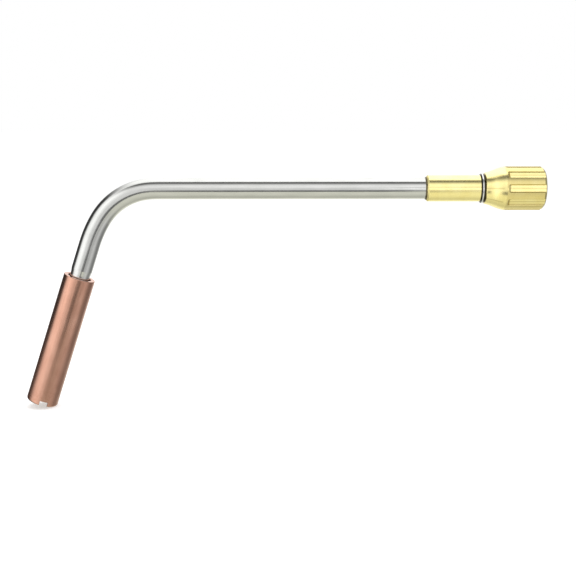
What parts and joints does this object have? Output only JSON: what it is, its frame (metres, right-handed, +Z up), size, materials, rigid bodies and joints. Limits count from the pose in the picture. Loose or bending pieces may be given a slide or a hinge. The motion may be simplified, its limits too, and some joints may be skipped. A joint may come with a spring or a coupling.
{
  "type": "bent multi-flame torch heating tip",
  "caption": "Bent heating tip for a propane torch: copper burner head on a stainless tube, with a brass mixer and a fluted coupling nut that turns.",
  "frame": {"origin": "on the tube's axis at the shoulder of the mixer's tail, where the tip seats in the torch handle", "axes": "+X along the straight tube towards the handle, +Z up, the bend in the XZ plane with the burner head down and away from the handle"},
  "size_m": [0.3132, 0.026, 0.1468],
  "materials": {
    "nut_brass": "satin machined",
    "mixer_brass": "satin turned",
    "inner_brass": "plain turned",
    "stainless_tube": "polished",
    "copper_shell": "satin drawn copper",
    "silver_braze": "dull",
    "spring_steel": "bright",
    "seal_rubber": "matt"
  },
  "bodies": {
    "tip": {"neck_tube": "stainless_tube", "head_shell": "copper_shell", "tip_bushing": "inner_brass", "tube_braze_ring": "silver_braze", "flame_core": "inner_brass", "mixer_body": "mixer_brass", "mixer_braze_ring": "silver_braze", "injector": "inner_brass", "large_o_ring": "seal_rubber", "small_o_ring": "seal_rubber"},
    "nut": {"coupling_nut": "nut_brass"},
    "ring": {"snap_ring": "spring_steel"}
  },
  "joints": [
    {"name": "nut_turn", "type": "hinge", "parent": "tip", "child": "nut", "pos_m": [0, 0, 0], "axis": [1, 0, 0], "continuous": true},
    {"name": "ring_turn", "type": "hinge", "parent": "tip", "child": "ring", "pos_m": [-0.0266, 0, 0], "axis": [1, 0, 0], "continuous": true}
  ]
}
